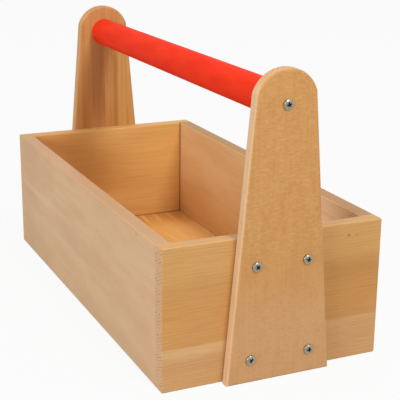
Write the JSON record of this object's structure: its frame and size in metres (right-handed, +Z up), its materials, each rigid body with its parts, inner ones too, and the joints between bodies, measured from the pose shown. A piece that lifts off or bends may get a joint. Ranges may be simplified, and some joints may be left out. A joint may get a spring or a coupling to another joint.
{
  "type": "tool tote",
  "caption": "Open wooden tool tray with a tapered, round-topped upright at each end and a round carrying handle between the uprights.",
  "frame": {"origin": "middle of the tray's underside, on the surface that the tote stands on", "axes": "+X along the handle towards the end that shows in front, +Y across the tray, +Z up"},
  "size_m": [0.373, 0.172, 0.221],
  "materials": {
    "beech_side": "pale beech, planed and sanded, thin clear matt varnish",
    "beech_end": "golden beech glued up from two staves, sanded, thin clear matt varnish",
    "beech_upright": "golden beech, edges sanded round, thin clear matt varnish",
    "beech_plywood": "beech plywood with a flamed face veneer, thin clear matt varnish",
    "red_lacquer": "round beech bar in opaque red satin lacquer",
    "zinc_plated_steel": "bright zinc plate",
    "beech_dowel": "raw fluted beech"
  },
  "bodies": {
    "root": {"bottom_panel": "beech_plywood", "corner_pin_front_left_1": "beech_dowel", "corner_pin_front_left_2": "beech_dowel", "corner_pin_front_right_1": "beech_dowel", "corner_pin_front_right_2": "beech_dowel", "corner_pin_rear_left_1": "beech_dowel", "corner_pin_rear_left_2": "beech_dowel", "corner_pin_rear_right_1": "beech_dowel", "corner_pin_rear_right_2": "beech_dowel", "end_board_front": "beech_end", "end_board_rear": "beech_end", "handle": "red_lacquer", "handle_screw_front": "zinc_plated_steel", "handle_screw_rear": "zinc_plated_steel", "side_board_left": "beech_side", "side_board_right": "beech_side", "upright_front": "beech_upright", "upright_rear": "beech_upright", "upright_screw_front_high_left": "zinc_plated_steel", "upright_screw_front_high_right": "zinc_plated_steel", "upright_screw_front_low_left": "zinc_plated_steel", "upright_screw_front_low_right": "zinc_plated_steel", "upright_screw_rear_high_left": "zinc_plated_steel", "upright_screw_rear_high_right": "zinc_plated_steel", "upright_screw_rear_low_left": "zinc_plated_steel", "upright_screw_rear_low_right": "zinc_plated_steel"}
  },
  "joints": []
}
